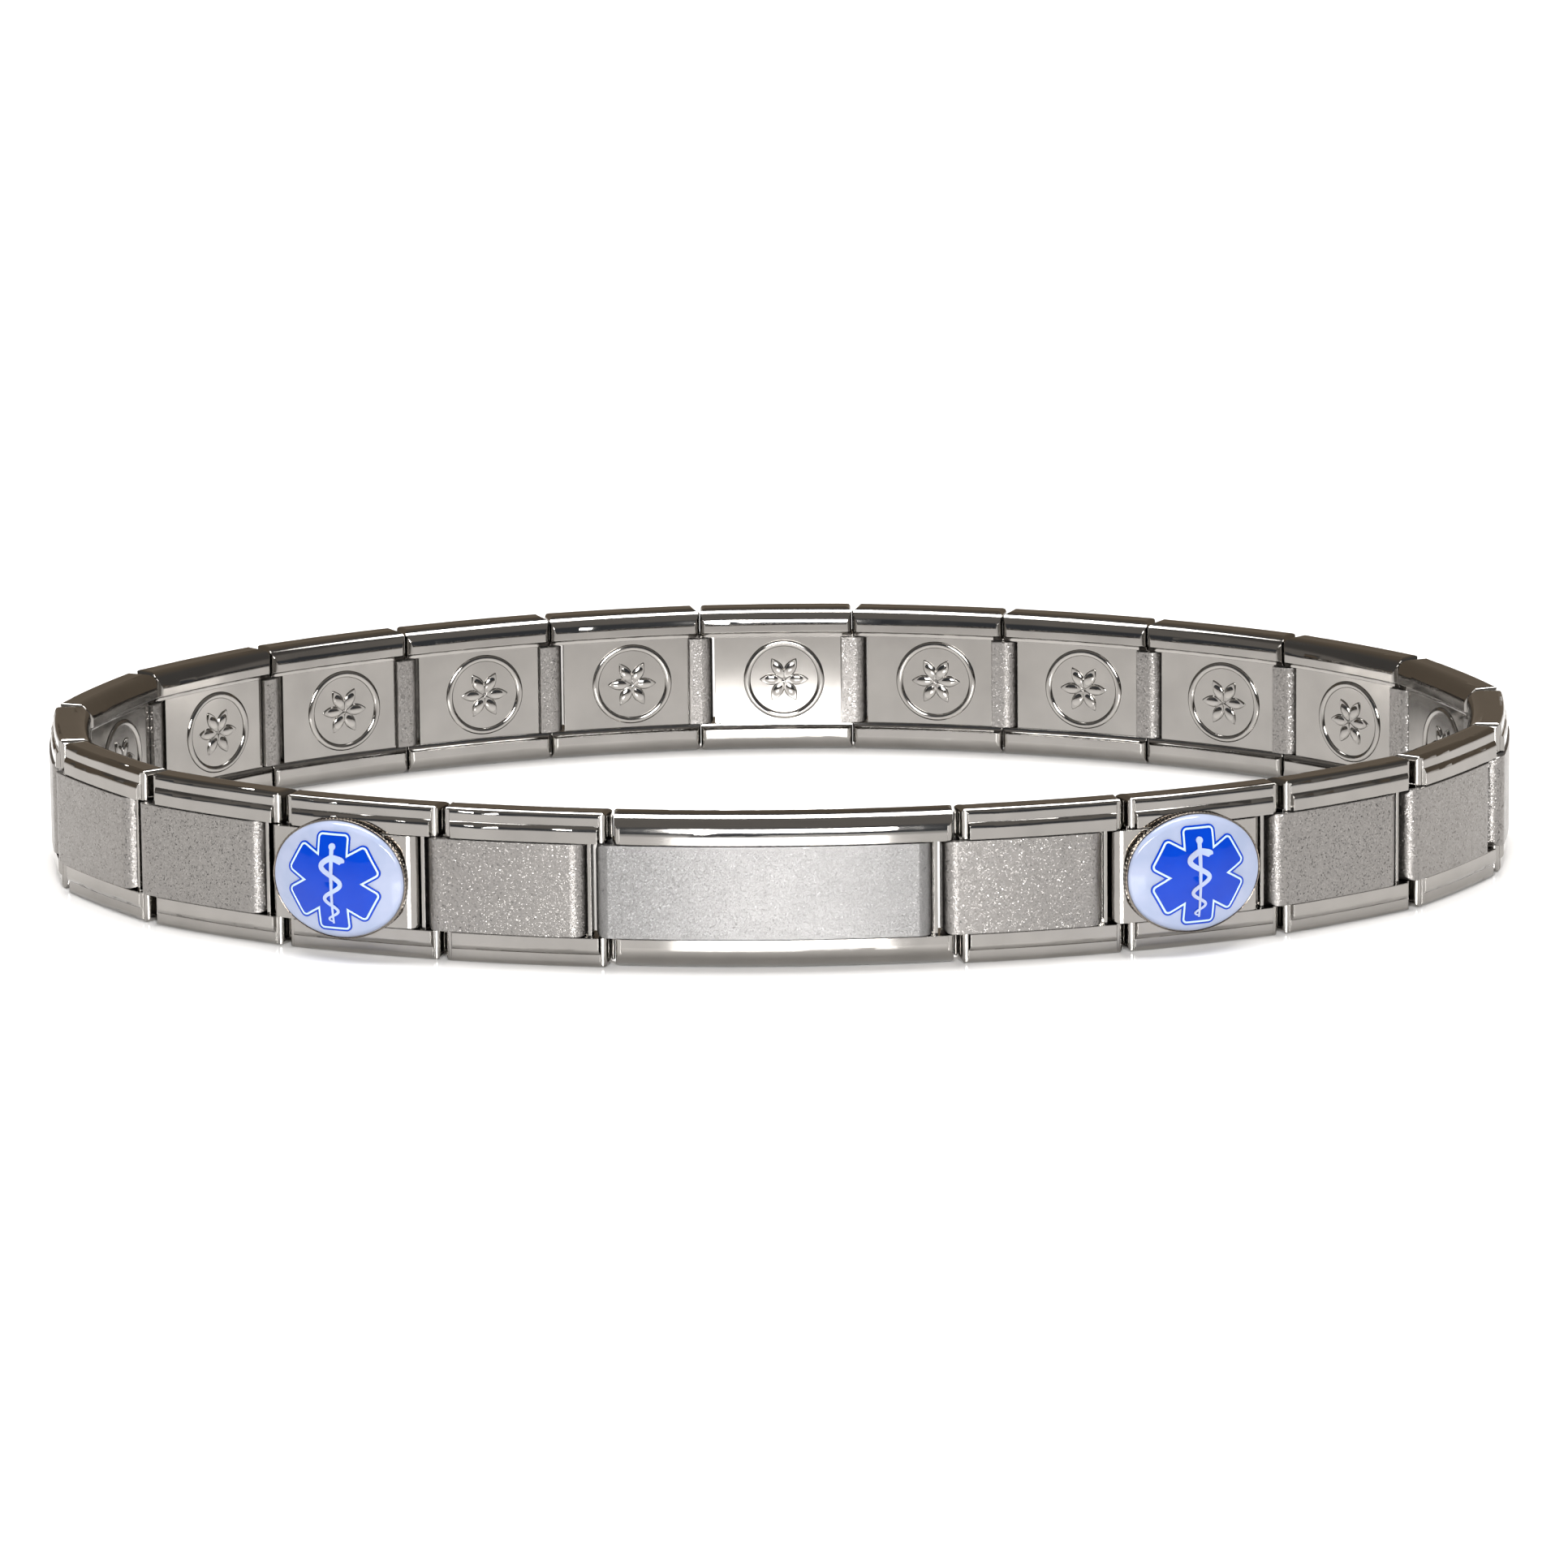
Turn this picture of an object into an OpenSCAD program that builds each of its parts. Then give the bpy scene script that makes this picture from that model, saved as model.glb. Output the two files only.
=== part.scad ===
// Medical alert bracelet, lying on its lower edge: a closed oval band of 22 steel links, with a
// long identity link in front and a domed medical sign on the second link to either side of it.
// Each link is drawn by itself: x runs along the band to the right as seen from outside, y points
// in to the wrist and z up. Its ends are halfway through the thickness at y = 0, and its middle is
// halfway up at z = 0.

/* [Loop] */
// How far the loop is pressed from a circle into an oval, in degrees
oval_press_deg = 16.2; // [10:0.2:20]
// How much flatter the front is than the back, in degrees
oval_lean_deg = 2; // [0:0.2:3]
// How round the two narrow ends are, in degrees
oval_tips_deg = 3.8; // [0:0.2:4]
// Gap between two frames where they come closest, on the wrist side
contact_gap = 0.1; // [0.1:0.05:0.3]

/* [Link frame] */
// Length of a single link's frame
link_l = 9.65; // [9.4:0.05:10]
// Length of the identity link's frame
id_l = 19.55; // [19:0.05:30]
// Height of every link
frame_h = 9.2; // [8.8:0.1:10.5]
// Thickness of every link, from the outside to the wrist side
frame_t = 2.4; // [2.2:0.05:2.7]
// Radius to which each link is arched over the wrist
arch_r = 60; // [50:5:150]
// Height of the rail above and below the face plate
rail_h = 1.8; // [1.6:0.05:1.9]
// Height of the set-back band along the free edge of a rail
band_h = 0.8; // [0.6:0.05:0.9]
// Depth of the step between the two bands of a rail
band_step = 0.18; // [0.1:0.02:0.24]
// Rounding of the shoulder at that step
shoulder_r = 0.4; // [0.3:0.05:0.5]
// Distance by which the bands stop short of the frame's ends
band_end = 0.34; // [0.3:0.02:0.5]
// Depth of the end posts behind the face of the rails
post_set = 0.22; // [0.2:0.02:0.3]
// Rounding of a rail's free edge on the wrist side
wrist_edge_r = 1; // [0.7:0.05:1.1]
// Rounding of a rail's free edge on the outside
outer_edge_r = 0.35; // [0.2:0.05:0.45]
// Rounding of a frame's ends on the wrist side, seen from above
wrist_end_r = 0.5; // [0.4:0.05:0.6]
// Rounding of a frame's ends on the outside, seen from above
outer_end_r = 0.32; // [0.2:0.02:0.4]
// Rounding of a frame's four corners, seen from the front
frame_corner_r = 0.35; // [0.2:0.05:0.4]
// Depth of the recess on the wrist side
web_recess = 0.4; // [0.3:0.05:0.5]
// Rounding of the identity rails' free edge on the outside
id_edge_r = 1.3; // [1:0.05:1.35]

/* [Face plate] */
// Thickness of the folded strip
plate_t = 0.45; // [0.35:0.05:0.5]
// Height by which the plate stands proud of the rails
plate_proud = 0.1; // [0.06:0.02:0.2]
// Reach of the folded end past its own frame
plate_reach = 1; // [0.8:0.05:1.1]
// Rounding of the two bends at the folded end
plate_bend_r = 0.8; // [0.6:0.05:1.1]
// Distance by which the other end stops short of the frame
plate_stop = 1.2; // [1.15:0.05:1.4]
// Radius of the roll at that end
plate_roll_r = 0.9; // [0.6:0.05:1]
// Reach of the folded tab over its own frame on the wrist side
tab_reach = 0.65; // [0.4:0.05:0.9]
// Depth of the tab below the rails on the wrist side
tab_set = 0.1; // [0.05:0.05:0.2]
// Rounding of the plate's corners
plate_corner_r = 0.35; // [0.2:0.05:0.5]

/* [Stamp on the wrist side] */
// Diameter of the stamped ring
stamp_d = 4.9; // [4:0.1:5]
// Width of the stamped lines
stamp_line = 0.2; // [0.12:0.02:0.3]
// Height of the stamped relief
stamp_rise = 0.1; // [0.06:0.02:0.16]
// Length of a petal of the rosette
petal_l = 1.4; // [1:0.1:1.6]
// Width of a petal of the rosette
petal_w = 0.6; // [0.4:0.05:0.7]

/* [Medical sign] */
// Width of the oval disc
charm_w = 8.4; // [8:0.1:8.8]
// Height of the oval disc
charm_h = 7; // [6.8:0.1:7.4]
// Thickness of the steel disc above the rails
disc_t = 0.4; // [0.3:0.05:0.6]
// Height of the dome at the ends of the oval
dome_edge = 0.12; // [0.1:0.02:0.3]
// Further rise of the dome at its middle
dome_rise = 0.85; // [0.6:0.05:1]
// Height of the six-armed star
star_h = 5.9; // [5.6:0.1:6.2]
// Width of an arm of the star
arm_w = 1.7; // [1.5:0.05:1.9]
// Rounding of the arm's corners
arm_corner_r = 0.16; // [0.08:0.02:0.3]
// Width of the thin line around the star
rim_line = 0.09; // [0.06:0.01:0.12]
// Width of the pale band between the star and its line
rim_band = 0.14; // [0.1:0.01:0.16]
// Thickness of the printed layers
print_t = 0.06; // [0.04:0.01:0.1]
// Diameter of the staff's knob
knob_d = 0.42; // [0.36:0.02:0.6]
// Width of the staff below its knob
staff_w = 0.22; // [0.16:0.02:0.3]
// Width of the snake behind its head
snake_w = 0.34; // [0.24:0.02:0.4]

/* [Hidden] */
side_links = 10;
charm_place = 2;
id_pitches = 2;
link_count = 2 * side_links + 2;
back_link = side_links + 1;
charm_links = [charm_place, link_count - charm_place];

// Clearances: under a plate, beside it, at its turned-down end, round its folded end, and under
// each printed layer
fit = 0.03;
side_fit = 0.05;
slot_fit = 0.08;
fold_fit = 0.12;
print_fit = 0.02;

// The faces of a link lie on cylinders about its arch axis
frame_r = arch_r + frame_t / 2;
wrist_r = arch_r - frame_t / 2;
plate_r = frame_r + plate_proud;
seat_r = plate_r - plate_t - fit;
web_r = wrist_r + web_recess;
tab_r = wrist_r + tab_set;
fold_t = plate_r - tab_r;
window_h = frame_h - 2 * rail_h;
plate_h = window_h - 2 * side_fit;
cove_r = web_recess - side_fit;

// How far the web goes into the rails, how far cutters pass what they cut, how far two arcs of a
// bend run on into each other and corner cutters keep off a bend, and how finely arcs are drawn
bite = 0.1;
over = 1;
lap = 0.03;
arc_facets = 360;
corner_facets = 32;

// The loop is the same to the left and right. Its headings follow a few smooth waves, and the
// last wave, closing_turn_deg, is found so that the back link closes the loop.
half_pitches = side_links + (id_pitches + 1) / 2;
function heading(k, closing) = let (u = (k + (id_pitches - 1) / 2) / half_pitches)
    180 * u - oval_press_deg * sin(360 * u) - oval_lean_deg * sin(540 * u)
    + oval_tips_deg * sin(720 * u) + closing * sin(180 * u);
function turns_for(closing) = [0, for (k = [1 : side_links]) heading(k, closing), 180];

// Two frames nearly touch where their wrist sides are rounded, so the gap halfway through their
// thickness grows with the bend of the joint
function joint_gap(turn) = 2 * ((contact_gap / 2 + wrist_end_r
    + (frame_t / 2 - wrist_end_r) * sin(turn / 2)) / cos(turn / 2) - wrist_end_r);
function gaps_for(turns) = [for (k = [0 : side_links]) joint_gap(turns[k + 1] - turns[k])];

// Steps lead from the middle of the identity link to the first hinge, and on from hinge to hinge
function step_l(gaps, k) = k == 0 ? (id_l + gaps[0]) / 2 : link_l + (gaps[k - 1] + gaps[k]) / 2;
function steps_for(turns, gaps) =
    [for (k = [0 : side_links]) step_l(gaps, k) * [cos(turns[k]), sin(turns[k])]];
function hinge(steps, k) = steps[k] + (k > 0 ? hinge(steps, k - 1) : [0, 0]);
function too_wide(closing) = let (turns = turns_for(closing), gaps = gaps_for(turns))
    hinge(steps_for(turns, gaps), side_links).x > (link_l + gaps[side_links]) / 2;
function find_closing(low, high, tries) = let (middle = (low + high) / 2)
    tries == 0 ? middle
    : too_wide(middle) ? find_closing(middle, high, tries - 1)
    : find_closing(low, middle, tries - 1);
closing_limit_deg = 30;
closing_tries = 40;
closing_turn_deg = find_closing(-closing_limit_deg, closing_limit_deg, closing_tries);
turns = turns_for(closing_turn_deg);
gaps = gaps_for(turns);
steps = steps_for(turns, gaps);
loop_y = hinge(steps, side_links).y;

// The arch makes the identity link bulge more than the back one, and the loop is set back by half
// the difference, so that the origin is in the middle of the whole bracelet
function arch_axis(length) = sqrt(pow(arch_r, 2) - pow(length / 2, 2));
function bulge(length) = arch_r - arch_axis(length);
front_y = (bulge(id_l) - bulge(link_l) - loop_y) / 2;

// Links are numbered to the right from the identity link, 0, round the back to the left
function is_left(i) = i > back_link;
function place(i) = is_left(i) ? link_count - i : i;
function link_length(i) = i == 0 ? id_l : link_l;
function link_name(i) = i == 0 ? "id" : i == back_link ? "back" : str(is_left(i) ? "l" : "r", place(i));

function link_middle(k) = k == 0 ? [0, 0]
    : k == back_link ? [0, loop_y]
    : hinge(steps, k - 1) + (gaps[k - 1] + link_l) / 2 * [cos(turns[k]), sin(turns[k])];

module at_link(i) {
    middle = link_middle(place(i));
    side = is_left(i) ? -1 : 1;
    translate([side * middle.x, front_y + middle.y, frame_h / 2])
        rotate([0, 0, side * turns[place(i)]])
            children();
}

// What a rounding takes off a corner at the origin, of a shape that lies to the upper right
module corner_cut(radius) {
    difference() {
        translate([-over, -over]) square(radius + over);
        translate([radius, radius]) circle(radius, $fn = corner_facets);
    }
}

// The same, of a long piece's four corners seen from the front
module front_corners(from_x, to_x, height, radius, depth) {
    for (end = [0, 1], edge = [0, 1])
        translate([end == 0 ? from_x : to_x, 0, 0])
            mirror([end, 0, 0]) mirror([0, 0, edge])
                translate([0, depth, -height / 2])
                    rotate([90, 0, 0])
                        linear_extrude(2 * depth)
                            corner_cut(radius);
}

// A band between two radii about the origin, from one angle to another, counted from -y. The
// wedge that cuts it out reaches past the outer radius.
wedge_share = 1.2;
module arc_band(outer, inner, from, to) {
    far = wedge_share * outer;
    intersection() {
        difference() {
            circle(outer, $fn = arc_facets);
            circle(inner, $fn = arc_facets);
        }
        polygon([[0, 0], [far * sin(from), -far * cos(from)], [far * sin(to), -far * cos(to)]]);
    }
}

module ring(outer, width) {
    difference() {
        circle(outer, $fn = 2 * corner_facets);
        circle(outer - width, $fn = 2 * corner_facets);
    }
}

// An oval of four arcs that meet smoothly, the end arcs with a radius near the half height
oval_end_share = 0.9;
module oval(width, height) {
    a = width / 2;
    b = height / 2;
    end_r = oval_end_share * b;
    side_r = (pow(a - end_r, 2) + b * b - end_r * end_r) / (2 * (b - end_r));
    meet_x = (a - end_r) * side_r / (side_r - end_r);
    for (side = [-1, 1]) translate([side * (a - end_r), 0]) circle(end_r, $fn = arc_facets);
    intersection() {
        translate([0, b - side_r]) circle(side_r, $fn = arc_facets);
        translate([0, side_r - b]) circle(side_r, $fn = arc_facets);
        square([2 * meet_x, height], center = true);
    }
}

// Sections of the upper rail, x outward from the middle of the thickness and y up
module banded_rail_section() {
    top = frame_h / 2;
    outer = frame_t / 2;
    shoulder_y = top - band_h + shoulder_r - sqrt(band_step * (2 * shoulder_r - band_step));
    difference() {
        union() {
            translate([-outer, top - rail_h]) square([frame_t - band_step, rail_h]);
            difference() {
                translate([-outer, top - rail_h]) square([frame_t, shoulder_y - top + rail_h]);
                translate([outer, shoulder_y]) rotate(180) corner_cut(shoulder_r);
            }
        }
        translate([outer - band_step, top]) rotate(180) corner_cut(outer_edge_r);
        wrist_side_cuts();
    }
}

module round_rail_section() {
    difference() {
        translate([-frame_t / 2, frame_h / 2 - rail_h]) square([frame_t, rail_h]);
        translate([frame_t / 2, frame_h / 2]) rotate(180) corner_cut(id_edge_r);
        wrist_side_cuts();
    }
}

// The round free edge, and the cove down to the stamped web
module wrist_side_cuts() {
    translate([-frame_t / 2, frame_h / 2]) rotate(-90) corner_cut(wrist_edge_r);
    translate([-frame_t / 2, frame_h / 2 - rail_h]) circle(cove_r, $fn = corner_facets);
}

// What is cut off the ends of a frame, seen from above: round corners, and the steep bevels at
// which the bands stop short of the end posts
bevel_share = 0.4;
module frame_end_cuts(length, banded) {
    face_y = -frame_t / 2;
    post_y = banded ? face_y + post_set : face_y;
    stop_x = length / 2 - band_end;
    depth = bulge(length) + over;
    for (side = [0, 1]) mirror([side, 0]) {
        translate([length / 2, -face_y]) rotate(180) corner_cut(wrist_end_r);
        translate([length / 2, post_y]) rotate(90) corner_cut(outer_end_r);
        translate([length / 2, face_y - depth]) square([over + depth, frame_t + depth + over]);
        if (banded)
            polygon([
                [stop_x, post_y], [length / 2 + over, post_y],
                [length / 2 + over, post_y - depth], [stop_x - bevel_share * depth, post_y - depth]
            ]);
    }
}

module rails(length, banded) {
    sweep = 2 * asin((length / 2 + over) / wrist_r);
    difference() {
        translate([0, arch_axis(length), 0])
            rotate([0, 0, -90 - sweep / 2])
                rotate_extrude(angle = sweep, $fn = arc_facets)
                    for (side = [0, 1]) translate([arch_r, 0]) mirror([0, side]) {
                        if (banded) banded_rail_section();
                        else round_rail_section();
                    }
        translate([0, 0, -frame_h / 2 - over])
            linear_extrude(frame_h + 2 * over)
                frame_end_cuts(length, banded);
        front_corners(-length / 2, length / 2, frame_h, frame_corner_r, frame_t + bulge(length));
    }
}

// The web between the rails, seen from above: it is cut back for the folded tab at one end, and
// at the other it has a slot for the turned-down end of its plate, behind a thin upright bar
function bend_x(length) = plate_bend_r - length / 2 - plate_reach;
function web_start(length) = bend_x(length) + fold_fit;
function web_end(length) = length / 2 + min(gaps) - plate_reach - fold_fit;
function plate_end(length) = length / 2 - plate_stop;
function tab_end(length) = tab_reach - length / 2;

module arched_part(length, outer, inner, from_x, to_x) {
    sweep = asin(length / wrist_r);
    intersection() {
        translate([0, arch_axis(length)]) arc_band(outer, inner, -sweep, sweep);
        translate([from_x, -frame_t]) square([to_x - from_x, 2 * frame_t]);
    }
}

module web_plan(length) {
    slot_start = plate_end(length) - plate_roll_r - slot_fit;
    slot_end = plate_end(length) + slot_fit;
    difference() {
        arched_part(length, seat_r, web_r, web_start(length), web_end(length));
        arched_part(length, tab_r + plate_t + side_fit, tab_r - over,
            web_start(length) - over, tab_end(length) + side_fit);
        arched_part(length, plate_r, plate_r - plate_roll_r - side_fit, slot_start, slot_end);
    }
}

// The stamp drawn on a plane: a ring around a rosette of six petals
module stamp_plan() {
    bow = (pow(petal_l / 2, 2) + pow(petal_w / 2, 2)) / petal_w;
    gap = stamp_line / 2;
    ring(stamp_d / 2, stamp_line);
    for (turn = [0 : 60 : 300]) rotate(turn) translate([petal_l / 2 + gap, 0]) intersection() {
        translate([0, bow - petal_w / 2]) circle(bow, $fn = 4 * corner_facets);
        translate([0, petal_w / 2 - bow]) circle(bow, $fn = 4 * corner_facets);
    }
}

module stamp(length) {
    intersection() {
        translate([(web_start(length) + web_end(length)) / 2, frame_t, 0])
            rotate([90, 0, 0])
                linear_extrude(2 * frame_t)
                    stamp_plan();
        translate([0, arch_axis(length), -stamp_d])
            difference() {
                cylinder(r = web_r + bite, h = 2 * stamp_d, $fn = arc_facets);
                translate([0, 0, -over])
                    cylinder(r = web_r - stamp_rise, h = 2 * (stamp_d + over), $fn = arc_facets);
            }
    }
}

module link_frame(i) {
    length = link_length(i);
    color("silver") union() {
        rails(length, i != 0);
        translate([0, 0, -window_h / 2 - bite]) linear_extrude(window_h + 2 * bite) web_plan(length);
        if (i != 0) stamp(length);
    }
}

// The strip's fold seen from above, open to the right: two bends and the wall between them
module fold_plan() {
    wall = fold_t - 2 * plate_bend_r;
    translate([-plate_bend_r, -wall / 2]) square([plate_t, wall]);
    for (side = [0, 1]) mirror([0, side]) translate([0, -wall / 2]) intersection() {
        ring(plate_bend_r, plate_t);
        translate([-2 * plate_bend_r, -2 * plate_bend_r]) square(2 * plate_bend_r + lap);
    }
}

// The folded strip seen from above: the face, the fold round the hinge to the tab on the wrist
// side, and the turned-down end
module strip_plan(length) {
    fold_turn = asin(bend_x(length) / (plate_r - fold_t / 2));
    roll_turn = asin((plate_end(length) - plate_roll_r) / (plate_r - plate_roll_r));
    tab_turn = asin(tab_end(length) / tab_r);
    arc_band(plate_r, plate_r - plate_t, fold_turn, roll_turn);
    arc_band(tab_r + plate_t, tab_r, fold_turn, tab_turn);
    rotate(fold_turn) translate([0, fold_t / 2 - plate_r]) fold_plan();
    rotate(roll_turn) translate([0, plate_roll_r - plate_r]) intersection() {
        ring(plate_roll_r, plate_t);
        translate([-lap, -2 * plate_roll_r]) square(2 * plate_roll_r);
    }
}

module strip(length) {
    difference() {
        translate([0, arch_axis(length), -plate_h / 2]) linear_extrude(plate_h) strip_plan(length);
        front_corners(-length / 2 - plate_reach - lap, plate_end(length) + lap, plate_h,
            plate_corner_r, frame_t + bulge(length) + over);
    }
}

// Draws on the middle of the face plate: x along the link, y up, z outward from the rails' face
module on_face(length) {
    middle_x = -(plate_reach + plate_stop) / 2;
    translate([0, arch_axis(length), 0])
        rotate([0, 0, asin(middle_x / frame_r)])
            translate([0, -frame_r, 0])
                rotate([90, 0, 0])
                    children();
}

module face_plate(i) {
    length = link_length(i);
    is_charm = len(search(i, charm_links)) > 0;
    color(is_charm ? "silver" : "darkgray") union() {
        strip(length);
        if (is_charm) on_face(length)
            translate([0, 0, fit]) linear_extrude(disc_t - fit) oval(charm_w, charm_h);
    }
}

// The dome is a slice of a ball with an oval outline, and each print lies on a larger ball
dome_z = disc_t + fit;
dome_top = dome_z + dome_edge + dome_rise;
dome_r = (pow(charm_w / 2, 2) + pow(dome_rise, 2)) / (2 * dome_rise);

module charm_ball(rise) {
    translate([0, 0, dome_top - dome_r]) sphere(dome_r + rise, $fn = arc_facets);
}

module charm_dome() {
    color("lavender") intersection() {
        translate([0, 0, dome_z])
            linear_extrude(dome_top)
                oval(charm_w - 2 * side_fit, charm_h - 2 * side_fit);
        charm_ball(0);
    }
}

module print_layer(number) {
    base = number * print_fit + (number - 1) * print_t;
    intersection() {
        for (shape = [0 : $children - 1])
            translate([0, 0, dome_z]) linear_extrude(dome_top + over) children(shape);
        difference() {
            charm_ball(base + print_t);
            charm_ball(base);
        }
    }
}

// Three crossing bars with round corners, grown by a margin on every side
module star_plan(margin) {
    half_h = star_h / 2 - rim_line - rim_band + margin;
    half_w = arm_w / 2 + margin;
    for (turn = [0, 60, 120]) rotate(turn) difference() {
        square([2 * half_w, 2 * half_h], center = true);
        for (x = [0, 1], y = [0, 1]) mirror([x, 0]) mirror([0, y])
            translate([-half_w, -half_h]) corner_cut(arm_corner_r + margin);
    }
}

module sign_star() {
    color("royalblue") print_layer(1) {
        star_plan(0);
        difference() {
            star_plan(rim_band + rim_line);
            star_plan(rim_band);
        }
    }
}

// Places on the star, in shares of its height. The snake winds down the staff: its path is
// counted in half turns, which get shorter and narrower towards the tail, and before the first
// one the head droops
knob_y = 0.355 * star_h;
foot_y = -0.42 * star_h;
snake_top = 0.25 * star_h;
snake_fall = 0.65 * star_h;
snake_reach = 0.12 * star_h;
head_droop = 0.1 * star_h;
snake_turns = 5;
head_turn = -0.5;
turn_step = 0.1;
dot_step_deg = 15;
tail_reach_share = 0.3;
tail_width_share = 0.25;
fall_power = 1.5;
head_swell_share = 0.6;
head_power = 4;
function snake_left(n) = 1 - max(n, 0) / snake_turns;
function snake_point(n) = [
    -snake_reach * (tail_reach_share + (1 - tail_reach_share) * snake_left(n)) * sin(180 * n),
    snake_top + (n < 0 ? head_droop * n : snake_fall * (pow(snake_left(n), fall_power) - 1))
];
function head_share(n) = let (part = max(n / head_turn, 0))
    (1 + head_swell_share * part) * sqrt(1 - pow(min(part, 1), head_power));
function snake_width(n) =
    snake_w * head_share(n) * (tail_width_share + (1 - tail_width_share) * snake_left(n));
function snake_side(n, side) = let (
    ahead = snake_point(min(n + turn_step / 2, snake_turns)),
    behind = snake_point(min(n, snake_turns - turn_step / 2) - turn_step / 2),
    way = (ahead - behind) / norm(ahead - behind)
) snake_point(n) + side * snake_width(n) / 2 * [-way.y, way.x];

module staff_plan() {
    neck = asin(staff_w / knob_d);
    polygon([
        for (turn = [neck : dot_step_deg : 360 - neck])
            [knob_d / 2 * sin(turn), knob_y - knob_d / 2 * cos(turn)],
        [-staff_w / 4, foot_y], [staff_w / 4, foot_y]
    ]);
}

module snake_plan() {
    steps = [for (n = [head_turn + turn_step / 4 : turn_step / 2 : snake_turns]) n];
    polygon([
        for (n = steps) snake_side(n, 1),
        for (n = steps) snake_side(steps[0] + steps[len(steps) - 1] - n, -1)
    ]);
}

module sign_staff() {
    color("white") print_layer(2) {
        staff_plan();
        snake_plan();
    }
}

for (i = [0 : link_count - 1]) {
    at_link(i) link_frame(i);
    at_link(i) face_plate(i);
}
for (i = charm_links) {
    at_link(i) on_face(link_l) charm_dome();
    at_link(i) on_face(link_l) sign_star();
    at_link(i) on_face(link_l) sign_staff();
}
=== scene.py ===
"""Medical alert bracelet: the materials, the stamps and pins of the links, the fine pieces of the
medical signs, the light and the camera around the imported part.

The part's own frame has +X along the oval's long way, +Y from the identity link to the back of
the wrist, and +Z up. The bracelet lies on the plane z = 0. The sizes below, and the settings that
say so, are in millimetres, and Blender's objects are in metres.
"""

import math

import bmesh
import bpy
from bpy.props import FloatProperty, FloatVectorProperty, IntProperty, PointerProperty
from mathutils import Matrix, Vector


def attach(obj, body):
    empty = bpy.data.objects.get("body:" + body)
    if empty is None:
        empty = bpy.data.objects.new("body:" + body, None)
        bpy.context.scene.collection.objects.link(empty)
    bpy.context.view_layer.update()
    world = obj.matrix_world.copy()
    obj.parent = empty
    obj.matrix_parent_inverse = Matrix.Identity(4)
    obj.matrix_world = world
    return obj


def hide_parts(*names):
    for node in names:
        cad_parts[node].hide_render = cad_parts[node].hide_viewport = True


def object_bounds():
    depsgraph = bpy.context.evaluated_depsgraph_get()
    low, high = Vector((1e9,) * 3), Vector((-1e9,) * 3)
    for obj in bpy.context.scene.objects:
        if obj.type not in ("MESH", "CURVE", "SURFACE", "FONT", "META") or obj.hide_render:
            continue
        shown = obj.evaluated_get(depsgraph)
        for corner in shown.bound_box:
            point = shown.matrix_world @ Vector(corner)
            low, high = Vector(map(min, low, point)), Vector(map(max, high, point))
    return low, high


bl_info = {
    "name": "Medical Alert Bracelet",
    "version": (1, 0, 0),
    "blender": (4, 5, 0),
    "location": "3D View > Sidebar > Bracelet",
    "description": "Dresses a modular steel medical alert bracelet and sets its stage",
    "category": "Object",
}

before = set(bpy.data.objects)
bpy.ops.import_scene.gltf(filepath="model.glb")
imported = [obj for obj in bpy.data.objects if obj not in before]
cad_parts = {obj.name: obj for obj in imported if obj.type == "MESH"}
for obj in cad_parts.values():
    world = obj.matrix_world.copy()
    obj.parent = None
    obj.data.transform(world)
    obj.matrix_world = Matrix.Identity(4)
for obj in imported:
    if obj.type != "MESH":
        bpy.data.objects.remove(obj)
cad_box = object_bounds()

BODY = "root"
MM = 0.001
LINKS_A_SIDE = 10
LINK_NAMES = (
    ["id"]
    + [f"r{place}" for place in range(1, LINKS_A_SIDE + 1)]
    + ["back"]
    + [f"l{place}" for place in range(LINKS_A_SIDE, 0, -1)]
)
BACK_LINK = LINK_NAMES.index("back")
SIGN_LINKS = ["r2", "l2"]

# The right half of the loop, from the identity link to the back link: x and y of each link's
# middle, and how far the link is turned in degrees. The left half mirrors it.
LINK_PLACES = (
    (0, -28.7474, 0),
    (14.7363, -27.5898, 13.4921),
    (24.0797, -24.5165, 22.9231),
    (32.6401, -19.6343, 36.4711),
    (39.3727, -12.4302, 57.4039),
    (42.5682, -3.1275, 84.6807),
    (41.1017, 6.5956, 112.4735),
    (35.6723, 14.8243, 134.3605),
    (27.9736, 20.9785, 148.3633),
    (19.1986, 25.4232, 157.9102),
    (9.7945, 28.316, 167.8934),
    (0, 29.3547, 180),
)
LINK_LENGTH = 9.65
IDENTITY_LENGTH = 19.55
LINK_HEIGHT = 9.2
RAIL_HEIGHT = 1.8
# Radius of the arch of the webs' wrist side, and the distance from it to the link's middle
WEB_RADIUS = 59.2
WEB_DEPTH = 0.606

# Sizes of the sign that the part's own solids have. Heights count outward from the flat base of
# the dome.
DISC_HALF = (4.2, 3.5)
OVAL_END_SHARE = 0.9
DOME_HALF = (4.15, 3.45)
DOME_TOP = 0.97
DOME_RADIUS = 10.802
PLATE_FACE = -0.33
STAR_HALF = (0.85, 2.72)
STAR_CORNER = 0.16
PALE_BAND = 0.14
PRINT_FIT = 0.02
# Room between a new piece and the solid beside it
SIDE_FIT = 0.01

SENSOR_WIDTH = 36
BEVEL_SAMPLES = 4
# Resin's IOR is near 1.5. A lower one gives the faint reflections of the photograph.
RESIN_COAT_IOR = 1.35
RESIN_GROUND_ROUGHNESS = 0.35
LAMINATE_IOR = 1.3
TINY = 1e-9


def linear(hex_colour):
    """An sRGB hex colour as linear red, green and blue."""
    shares = [int(hex_colour[i : i + 2], 16) / 255 for i in (1, 3, 5)]
    return tuple(s / 12.92 if s <= 0.04045 else ((s + 0.055) / 1.055) ** 2.4 for s in shares)


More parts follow.
